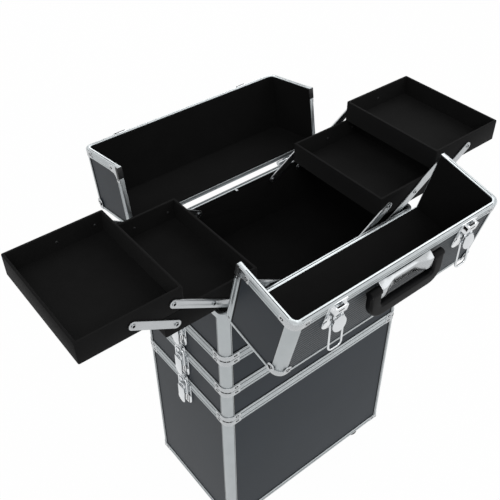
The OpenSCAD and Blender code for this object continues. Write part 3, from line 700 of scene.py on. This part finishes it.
class CASE_OT_trims(bpy.types.Operator):
    """Rounds and finishes the aluminium frames, with the ridges and the dark lines of painted shade along
    their faces
    """

    bl_idname = "case.trims"
    bl_label = "Aluminium trims"

    def seams(self, at, out, u0, u1, v0, v1):
        """Dark lines of painted shadow round a panel's face, where the trims stand over it; at gives the
        place of (u, v).
        """
        width = sizes().seam
        along_u = Vector(at(1, 0)) - Vector(at(0, 0))
        along_v = Vector(at(0, 1)) - Vector(at(0, 0))
        rows = [(at((u0 + u1) / 2, v), along_u, u1 - u0) for v in (v0 + width / 2, v1 - width / 2)]
        rows += [(at(u, (v0 + v1) / 2), along_v, v1 - v0) for u in (u0 + width / 2, u1 - width / 2)]
        return [(place, out, along, (reach, width, LINE_LIFT)) for place, along, reach in rows]

    def stack(self):
        """Ridges and dark lines of painted shade of the stack: along its bands, round its panels and down its
        posts.
        """
        ridges, lines = [], []
        for name in SECTIONS:
            low, high = section_levels(name)
            for out, along, half, distance in stack_faces():
                def at(u, level, inset=0):
                    return Vector(out) * (distance - inset) + Vector(along) * u + Vector((0, 0, level))

                reach = 2 * (half - PLATE_LEG)
                for foot in (low, high - BAND):
                    ridges += [(at(0, foot + z), out, along, ridge(reach)) for z in BAND_RIDGES]
                    lines.append((at(0, foot + BAND / 2), out, along, groove(reach)))
                lines += self.seams(lambda u, v: at(u, v, TRIM), out, POST - half, half - POST,
                                    low + BAND, high - BAND)
                # dark lines of painted shade down each post, by its edges
                post = (high - low - 2 * BAND, POST_LINE, LINE_LIFT)
                lines += [(at(side * (half - POST_LINE_IN), (low + high) / 2), out, Z, post) for side in ENDS]
        # a dark line of painted shade along the rim's top
        rim = Vector((0, 0, section_levels("body")[1]))
        lines += [(Vector(out) * (distance - RIM_GROOVE) + rim, Z, along,
                   (2 * (half - POST), RIM_LINE, LINE_LIFT))
                  for out, along, half, distance in stack_faces()]
        return ridges, lines

    def half(self, depth):
        """Ridges and dark lines of painted shade of a lid half drawn shut: along its bands and round its
        panels.
        """
        near, far = -PART_GAP, -PART_GAP - PART_BAND
        back = -depth + EDGE_LEG
        top = HALF_W - 2 * HALF_R - 2 * BRACKET_LEG
        low, high = FOOT_LEG, HALF_H - HALF_R - BRACKET_LEG
        foot = depth - FOOT_LEG
        lines = [((0, near - y, HALF_H), Z, X, groove(top)) for y in PART_GROOVES]
        lines.append(((0, near, HALF_H - RIM_GROOVE), Y, X, groove(HALF_W - 2 * HALF_R)))
        lines += self.seams(lambda u, v: (u, v, HALF_H - TRIM), Z, HALF_POST - HALF_W / 2,
                            HALF_W / 2 - HALF_POST, back, far)
        ridges = [((0, near - y, HALF_H), Z, X, ridge(top)) for y in PART_RIDGES]
        ridges += [((0, -depth, HALF_LIFT + z), (0, -1, 0), X, ridge(HALF_W - 2 * FOOT_LEG))
                   for z in FOOT_RIDGES]
        for side in ENDS:
            out, face = (side, 0, 0), side * HALF_W / 2
            lines.append(((face - side * RIM_GROOVE, near, HALF_H / 2), Y, Z, groove(HALF_H - 2 * HALF_R)))
            lines += self.seams(lambda u, v: (face - side * TRIM, u, v), out, back, far,
                                HALF_LIFT + FOOT_BAND, HALF_H - HALF_POST)
            ridges += [((face, near - y, (low + high) / 2), out, Z, ridge(high - low)) for y in PART_RIDGES]
            ridges += [((face, -FOOT_LEG - foot / 2, HALF_LIFT + z), out, Y, ridge(foot))
                       for z in FOOT_RIDGES]
        return ridges, lines

    def execute(self, context):
        metal = anodised_aluminium()
        tree = instance_tree("Trim ridges", rib_shape)
        for name in FRAMED:
            dressed(f"{name}_frame", [metal], sizes().edge, "aluminium_trim")
        ridges, lines = self.stack()
        scatter("case_ridges", tree, ridges, metal, "case", "aluminium_trim")
        dark_slots("case_grooves", lines, "case", "aluminium_trim")
        for name, matrix, depth in HALVES:
            ridges, lines = ([turned_spot(matrix, *spot) for spot in row] for row in self.half(depth))
            dark_slots(f"{name}_grooves", lines, name, "aluminium_trim")
            scatter(f"{name}_ridges", tree, ridges, metal, name, "aluminium_trim")
        return {"FINISHED"}


class CASE_OT_corners(bpy.types.Operator):
    """Finishes the steel corners of the stack, with their rivets and the painted shade in the gaps at their
    joints
    """

    bl_idname = "case.corners"
    bl_label = "Steel corners"

    def execute(self, context):
        dressed("steel_corners", [pressed_steel()], 0.25 * MM, "steel_plate")
        inset = 20 * MM
        # the gaps are dark slots of painted shade
        gap, gap_turns = (4.5 * MM, 1.4 * MM, 0.4 * MM), (22, 45, 68)
        spots, gaps = [], []
        for name in SECTIONS:
            low, high = section_levels(name)
            levels = [low + BAND / 2]
            if name != "body":  # its rim has no plates
                levels.append(high - BAND / 2)
            for sx, sy in CORNERS:
                for z in levels:
                    spots.append(((sx * (CASE_W / 2 - inset), sy * (CASE_D / 2 + PLATE), z), (0, sy, 0)))
                    spots.append(((sx * (CASE_W / 2 + PLATE), sy * (CASE_D / 2 - inset), z), (sx, 0, 0)))
                middle = Vector((sx * (CASE_W / 2 - CORNER_R), sy * (CASE_D / 2 - CORNER_R), low))
                for turn in map(math.radians, gap_turns):
                    out = Vector((sx * math.cos(turn), sy * math.sin(turn), 0))
                    gaps.append((middle + (CORNER_R + PLATE) * out, out, Vector(Z).cross(out), gap))
        dark_slots("corner_gaps", gaps, "case", "steel_plate")
        riveted("case_rivets", spots, "case")
        return {"FINISHED"}


class CASE_OT_brackets(bpy.types.Operator):
    """Bends the steel brackets round the lid halves' corners and sets their plugs and rivets"""

    bl_idname = "case.brackets"
    bl_label = "Lid brackets"

    def execute(self, context):
        thick = sizes().bracket
        ear_r, ear_leg, strap = 6.5 * MM, 7 * MM, 11 * MM
        round_ear = (0, 345, 15)  # first and last angle and the steps between them
        fillet, margin = 9 * MM, 0.8 * MM
        over_in, over_wide = 0.5 * MM, PART_BAND - 1 * MM
        plug_end, plug_l, plug_foot, plug_h = 0.6 * MM, 19 * MM, 0.2 * MM, 6 * MM
        plug_in, plug_out = 7.2 * MM, 0.4 * MM
        rivet_in, post_rivet = 5 * MM, 8 * MM
        edge_width = 0.25 * MM
        for name, matrix, depth in HALVES:
            metal, black, spots = bmesh.new(), bmesh.new(), []
            turn = matrix.to_3x3()
            for side in ENDS:
                def over(u, v, across):
                    return matrix @ Vector((side * u, across, v))

                def beside(u, v, level):
                    return matrix @ Vector((side * (HALF_W / 2 + level), u, v))

                def above(u, v, level):
                    return matrix @ Vector((side * u, v, HALF_H + level))

                # over the corner at the joint line
                near = -PART_GAP - over_in
                bent_plate(metal, corner_path(BRACKET_LEG), near - over_wide, near, thick, over)
                # round the post's foot by the hinges, with an ear on each face
                ear_y = -depth + strap
                bent_plate(metal, corner_path(ear_leg), -depth, ear_y, thick, over)
                wall_z = HALF_H - HALF_R - ear_leg + ear_r
                top_x = HALF_W / 2 - HALF_R - ear_leg + ear_r
                flat_plate(metal, arc((ear_y, wall_z), ear_r, *round_ear), 0, thick, beside)
                flat_plate(metal, arc((top_x, ear_y), ear_r, *round_ear), 0, thick, above)
                # an angle where the joint band meets the foot band
                outline = [(-margin, margin), (-FOOT_LEG, margin), (-FOOT_LEG, FOOT_BAND)]
                outline += arc((-PART_BAND - fillet, FOOT_BAND + fillet), fillet, 270, 360)
                outline += [(-PART_BAND, FOOT_LEG), (-margin, FOOT_LEG)]
                flat_plate(metal, outline, 0, thick, beside)
                # a black plug in the end of the foot band, by the joint line
                outline = [(-plug_l, plug_foot), (-plug_end, plug_foot),
                           (-plug_end, plug_h), (-plug_l, plug_h)]
                flat_plate(black, outline, -plug_in, thick + plug_out, beside)
                out = (side, 0, 0)
                edge, top = side * (HALF_W / 2 + thick), HALF_H + thick
                middle = -PART_GAP - PART_BAND / 2
                for place, outward in (
                        ((edge, middle, HALF_H - HALF_R - BRACKET_LEG + rivet_in), out),
                        ((side * (HALF_W / 2 - HALF_R - BRACKET_LEG + rivet_in), middle, top), Z),
                        ((edge, ear_y, wall_z), out),
                        ((side * top_x, ear_y, top), Z),
                        ((edge, middle, FOOT_LEG - rivet_in), out),
                        ((edge, -FOOT_LEG + rivet_in, FOOT_BAND / 2), out),
                        ((side * HALF_W / 2, -depth + post_rivet, FOOT_BAND / 2), out)):
                    spots.append((matrix @ Vector(place), turn @ Vector(outward)))
            for form, kind, finish, slot in ((metal, "brackets", pressed_steel(), "steel_plate"),
                                             (black, "plugs", black_fitting(), "black_plastic")):
                settle(f"{name}_{kind}", rounded(form, f"{name}_{kind}", edge_width), [finish], name, slot)
            riveted(f"{name}_rivets", spots, name, turn @ Vector(Y))
        return {"FINISHED"}


class CASE_OT_linings(bpy.types.Operator):
    """Finishes the cloth linings"""

    bl_idname = "case.linings"
    bl_label = "Linings"

    def execute(self, context):
        for name in ("body_lining", "front_half_lining", "back_lid_lining"):
            dressed(name, [woven_lining()], 0.4 * MM, "lining")
        return {"FINISHED"}


class CASE_OT_hinges(bpy.types.Operator):
    """Finishes the lid hinges and sets the tongue in the rear rim"""

    bl_idname = "case.hinges"
    bl_label = "Hinges"

    def execute(self, context):
        steel = pressed_steel()
        for name in ("fixed_hinge_leaves", "front_hinge_leaves", "back_hinge_leaves"):
            dressed(name, [steel], 0.3 * MM, "hinge_steel")
        paint("hinge_pins", steel)
        # a small tongue in the middle of the rear rim, pointing inwards
        reach, wide, thick, shift = 7 * MM, 4 * MM, 1.6 * MM, 0.5 * MM
        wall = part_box("body_lining")[1].y - LINING
        place = (0, wall - shift, section_levels("body")[1] - thick)
        scatter("rim_tongue", instance_tree("Slots", slot_shape), [(place, Z, Y, (reach, wide, thick))],
                steel, "case", "hinge_steel")
        return {"FINISHED"}


class CASE_OT_latches(bpy.types.Operator):
    """Finishes the draw latches, with the painted shade in their slots, the dark lines of painted shadow by
    their levers and the rivets on their plates
    """

    bl_idname = "case.latches"
    bl_label = "Draw latches"

    def execute(self, context):
        chrome = chrome_plate()
        plate_edge, lever_edge = 0.35 * MM, 0.5 * MM
        for name in ("side_latch_plates", "side_latch_keepers", "top_latch_plates", "latch_keepers"):
            dressed(name, [chrome], plate_edge, "latch_chrome")
        for side in SIDES:
            dressed(f"top_latch_lever_{side}", [chrome], lever_edge, "latch_chrome")
            paint(f"top_latch_bail_{side}", chrome)
            for place in ("top", "middle", "bottom"):
                dressed(f"{side}_lever_{place}", [chrome], lever_edge, "latch_chrome")
                paint(f"{side}_bail_{place}", chrome)

        # rivets, and dark lines of painted shadow from the levers, on the plates, u across the latch and v
        # down it
        rivet_u, rivet_v, top_rivet_v = 12.5 * MM, 26 * MM, 33 * MM
        shadow_line, shadow_line_v = (24 * MM, 1.9 * MM, SLOT_LIFT), 37 * MM
        shadow_lines_u = (-8 * MM, -3 * MM, 3 * MM, 8 * MM)
        spots, shadow_lines = [], []
        for name in SECTIONS[1:]:
            level = section_levels(name)[0]
            for sx in ENDS:
                face, out = sx * (CASE_W / 2 + LATCH_PLATE), (sx, 0, 0)
                spots += [((face, sy * rivet_u, level - rivet_v), out) for sy in ENDS]
                shadow_lines += [((face, u, level - shadow_line_v), out, Z, shadow_line) for u in shadow_lines_u]
        riveted("side_latch_rivets", spots, "case")
        dark_slots("side_latch_shadow_lines", shadow_lines, "case", "latch_chrome")

        # painted shade in the mouths of the top bridges and of their keepers, and in a slot across each
        # bridge
        mouth, mouth_v, mouth_w = (10 * MM, 2.6 * MM, SLOT_LIFT), 2 * MM, 5.6 * MM
        cross, cross_v, cross_w = (9 * MM, 2 * MM, SLOT_LIFT), 6 * MM, 8.6 * MM
        keeper = (18 * MM, 4.2 * MM, SLOT_LIFT)
        turn = FRONT.to_3x3()
        slots, keepers, spots = [], [], []
        for x in (side * LATCH_X for side in ENDS):
            lip = (x, -PART_GAP - mouth_v, HALF_H + mouth_w)
            slots.append(turned_spot(FRONT, lip, Y, X, mouth))
            slots.append(turned_spot(FRONT, (x, -PART_GAP - cross_v, HALF_H + cross_w), Z, X, cross))
            keepers.append(turned_spot(BACK, lip, Y, X, keeper))
            for u in (-rivet_u, rivet_u):
                place = Vector((x + u, -PART_GAP - top_rivet_v, HALF_H + LATCH_PLATE))
                spots.append((FRONT @ place, turn @ Vector(Z)))
        dark_slots("top_latch_slots", slots, "front_half", "latch_chrome")
        dark_slots("keeper_slots", keepers, "back_lid", "latch_chrome")
        riveted("top_latch_rivets", spots, "front_half", turn @ Vector(Y))
        return {"FINISHED"}


class CASE_OT_carry_handle(bpy.types.Operator):
    """Presses the carrying handle's strap and finishes its grip"""

    bl_idname = "case.carry_handle"
    bl_label = "Carrying handle"

    def strap(self):
        """Presses the bow-tie strap: low and narrow in the middle, high and wide over the grip's pivots."""
        waist, waist_rise, bow = 9.5 * MM, 6 * MM, 18 * MM
        half, rise, end = 13 * MM, 13 * MM, 48.5 * MM
        flare = 0.8 * (end - bow)
        middle = -PART_GAP - PART_BAND - MOUNT_GAP - half
        steps = 12
        run = [bow + (end - bow) * step / steps for step in range(steps + 1)]
        form, rings = bmesh.new(), []
        for x in [-x for x in reversed(run)] + run:
            share = min(1, (abs(x) - bow) / flare)
            share = share * share * (3 - 2 * share)
            wide = waist + (half - waist) * share
            top = waist_rise + (rise - waist_rise) * share
            # the profile's breaks, in millimetres where the strap is highest
            edge, slope, lip = (part * MM * top / rise for part in (1.5, 5, 4))
            profile = ((-wide, -TRIM), (wide, -TRIM), (wide, edge), (wide - slope, top - lip / 2),
                       (-wide + lip, top), (-wide, top - lip / 2))
            rings.append([form.verts.new(FRONT @ Vector((x, middle + v, HALF_H + w))) for v, w in profile])
        skin(form, rings)
        settle("handle_strap", rounded(form, "handle_strap", 0.9 * MM, 3), [pressed_steel()], "front_half",
               "latch_chrome", ("handle_mount",))

    def execute(self, context):
        self.strap()
        dressed("handle_grip", [grip_plastic()], 2.2 * MM, "grip_plastic", segments=4)
        return {"FINISHED"}


class CASE_OT_trays(bpy.types.Operator):
    """Finishes the flocked trays, their rivets and the painted shade in the slots in the rivets' heads"""

    bl_idname = "case.trays"
    bl_label = "Trays"

    def execute(self, context):
        domes = instance_tree("Rivet heads", dome_shape)
        discs = instance_tree("Rivet recesses", disc_shape)
        size = sizes()
        head, slot = (4.6 * MM, 4.6 * MM, 1.6 * MM), (4.8 * MM, 1.1 * MM, SLOT_LIFT)
        inner_d = TRAY_D - 2 * TRAY_WALL
        for side in SIDES:
            outward = -1 if side == "left" else 1
            for level, pivots in (("lower", (-1, 0, 1)), ("upper", (0, -1))):
                name = f"{side}_{level}_tray"
                low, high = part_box(name)
                middle = (low + high) / 2
                wide = high.x - low.x
                form = bmesh.new()
                open_box(form, rounded_outline(middle, wide, TRAY_D, size.tray_corner),
                         rounded_outline(middle, wide - 2 * TRAY_WALL, inner_d, size.tray_corner / 2),
                         low.z, low.z + TRAY_FLOOR, high.z)
                settle(name + "_box", rounded(form, name, size.tray_edge), [flocked_plastic()], name,
                       "tray_flock", (name,))
                # each rivet's seat, shank and head, from the tray's wall outwards
                wall = TRAY_D / 2
                rivet = ((wall, wall + PIVOT_SEAT, PIVOT_HEAD), (wall, high.y, PIVOT),
                         (high.y - PIVOT_RIM, high.y, PIVOT_HEAD))
                inside, shanks, cuts = [], [], []
                for x in (middle.x + outward * pivot * PIVOT_PITCH for pivot in pivots):
                    for sy in ENDS:
                        out = (0, sy, 0)
                        inside.append(((x, sy * inner_d / 2, middle.z), (0, -sy, 0), X, head))
                        shanks += [((x, sy * (start + end) / 2, middle.z), out, X,
                                    (thick, thick, end - start)) for start, end, thick in rivet]
                        # the slot across each head is a dark strip of painted shade
                        cuts.append(((x, sy * high.y, middle.z), out, (1, 0, 1), slot))
                scatter(name + "_rivets", discs, shanks, pressed_steel(), name, "arm_steel")
                scatter(name + "_inner_heads", domes, inside, black_fitting(), name, "arm_steel")
                dark_slots(name + "_slots", cuts, name, "arm_steel")
        return {"FINISHED"}


class CASE_OT_arms(bpy.types.Operator):
    """Finishes the tray arms and the body's pivots"""

    bl_idname = "case.arms"
    bl_label = "Tray arms"

    def execute(self, context):
        for side in SIDES:
            for kind in ("long_arms", "short_arms", "links"):
                dressed(f"{side}_{kind}", [strip_steel(side)], 0.35 * MM, "arm_steel")
        paint("arm_pivots", pressed_steel())
        return {"FINISHED"}


class CASE_OT_running_gear(bpy.types.Operator):
    """Finishes the wheels, feet and trolley handle"""

    bl_idname = "case.running_gear"
    bl_label = "Running gear"

    def execute(self, context):
        for name in ("wheel_housings", "front_feet"):
            dressed(name, [black_fitting()], 0.8 * MM, "black_plastic")
        for side in SIDES:
            dressed(f"{side}_wheel", [tyre_rubber()], 0.6 * MM, "wheel_rubber")
        paint("axles", pressed_steel())
        dressed("trolley_tubes", [pressed_steel()], 0.5 * MM, "tube_steel")
        grip_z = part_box("trolley_handle")[1].z - TROLLEY_GRIP
        dressed("trolley_handle", [black_fitting(), pressed_steel()], 1.5 * MM, "black_plastic", segments=3,
                pick=lambda centre: int(centre.z < grip_z))
        return {"FINISHED"}


class CASE_OT_stage(bpy.types.Operator):
    """Sets the floor, the lights and the camera"""

    bl_idname = "case.stage"
    bl_label = "Studio"

    def seen(self, tree):
        """1 for what the camera and reflections see, and 0 for what lights the case."""
        path = node(tree, "ShaderNodeLightPath")
        shiny = node(tree, "ShaderNodeMath", {"operation": "MAXIMUM"},
                     {0: (path, "Is Glossy Ray"), 1: (path, "Is Transmission Ray")})
        either = node(tree, "ShaderNodeMath", {"operation": "MAXIMUM"},
                      {0: (path, "Is Camera Ray"), 1: (shiny, "Value")})
        return either, "Value"

    def floor(self):
        """Lays a paper floor, nearly white to the camera and in reflections, plain to the light."""
        reach, white_share = 6, 0.985
        mesh = bpy.data.meshes.new("studio_floor")
        mesh.from_pydata([(sx * reach, sy * reach, 0) for sx, sy in CORNERS], [], [(0, 1, 2, 3)])
        floor = placed("studio_floor", mesh)
        paper, tree = start_material("White paper floor")
        plain = node(tree, "ShaderNodeBsdfDiffuse", inputs={"Color": (0.85, 0.85, 0.85, 1)})
        share = node(tree, "ShaderNodeMath", {"operation": "MULTIPLY"}, {0: self.seen(tree), 1: white_share})
        glow = node(tree, "ShaderNodeEmission", inputs={"Color": (1, 1, 1, 1), "Strength": 1.0})
        mixed = node(tree, "ShaderNodeMixShader",
                     inputs={0: (share, "Value"), 1: (plain, "BSDF"), 2: (glow, "Emission")})
        node(tree, "ShaderNodeOutputMaterial", inputs={"Surface": (mixed, "Shader")})
        mesh.materials.append(paper)

    def sky(self, scene):
        """Makes the world white to the camera and in reflections, and dimmer as a light."""
        dim = 0.36
        world = bpy.data.worlds.new("Studio")
        scene.world = world
        world.use_nodes = True
        tree = world.node_tree
        tree.nodes.clear()
        level = node(tree, "ShaderNodeMapRange",
                     inputs={"Value": self.seen(tree), "To Min": dim, "To Max": 1.0})
        sky = node(tree, "ShaderNodeBackground",
                   inputs={"Color": (1, 1, 1, 1), "Strength": (level, "Result")})
        node(tree, "ShaderNodeOutputWorld", inputs={"Surface": (sky, "Background")})

    def lamps(self):
        """Hangs the soft lamps, each turned to the middle of the case."""
        target = Vector((0, 0, 0.5))
        for name, place, size, power in (
                ("Key", (-0.9, -1.9, 2.4), 1.6, 19), ("Fill", (1.8, -1.6, 1.6), 1.8, 8),
                ("Rear", (1.45, 0.6, 2.3), 1.4, 13), ("Rim", (1.2, 2.4, 1.15), 1.2, 9)):
            lamp = bpy.data.lights.new(name, "AREA")
            lamp.size = size
            lamp.energy = power
            holder = placed(name, lamp)
            holder.location = place
            holder.rotation_euler = (target - Vector(place)).to_track_quat("-Z", "Y").to_euler()

    def camera(self, scene):
        """Sets the camera where the photograph was taken from."""
        lens = bpy.data.cameras.new("Photo view")
        lens.sensor_width = 36
        lens.lens = 52.21
        lens.shift_x = -0.01364
        lens.shift_y = -0.0271
        camera = placed("Photo view", lens)
        camera.location = (-0.57264, -0.65943, 1.29022)
        camera.rotation_euler = (math.radians(49.85), 0, math.radians(-38.9))
        scene.camera = camera

    def execute(self, context):
        scene = context.scene
        scene.view_settings.view_transform = "Standard"
        self.floor()
        self.sky(scene)
        self.lamps()
        self.camera(scene)
        return {"FINISHED"}


class CASE_PT_panel(bpy.types.Panel):
    """Lists the steps that dress the case"""

    bl_idname = "CASE_PT_panel"
    bl_label = "Makeup case"
    bl_space_type = "VIEW_3D"
    bl_region_type = "UI"
    bl_category = "Makeup case"

    def draw(self, context):
        for group in (context.scene.case_sizes, context.scene.case_colours):
            for key in group.__annotations__:
                self.layout.prop(group, key)
        for step in STEPS:
            self.layout.operator(step.bl_idname)


STEPS = (CASE_OT_stage, CASE_OT_ribbed_panels, CASE_OT_trims, CASE_OT_corners, CASE_OT_brackets,
         CASE_OT_linings, CASE_OT_hinges, CASE_OT_latches, CASE_OT_carry_handle, CASE_OT_trays,
         CASE_OT_arms, CASE_OT_running_gear)
CLASSES = (CaseSizes, CaseColours) + STEPS + (CASE_PT_panel,)


def register():
    for made in CLASSES:
        bpy.utils.register_class(made)
    bpy.types.Scene.case_sizes = PointerProperty(type=CaseSizes)
    bpy.types.Scene.case_colours = PointerProperty(type=CaseColours)


def unregister():
    del bpy.types.Scene.case_colours
    del bpy.types.Scene.case_sizes
    for made in reversed(CLASSES):
        bpy.utils.unregister_class(made)


def main():
    register()
    bpy.ops.case.stage()
    bpy.ops.case.ribbed_panels()
    bpy.ops.case.trims()
    bpy.ops.case.corners()
    bpy.ops.case.brackets()
    bpy.ops.case.linings()
    bpy.ops.case.hinges()
    bpy.ops.case.latches()
    bpy.ops.case.carry_handle()
    bpy.ops.case.trays()
    bpy.ops.case.arms()
    bpy.ops.case.running_gear()


if __name__ == "__main__":
    main()
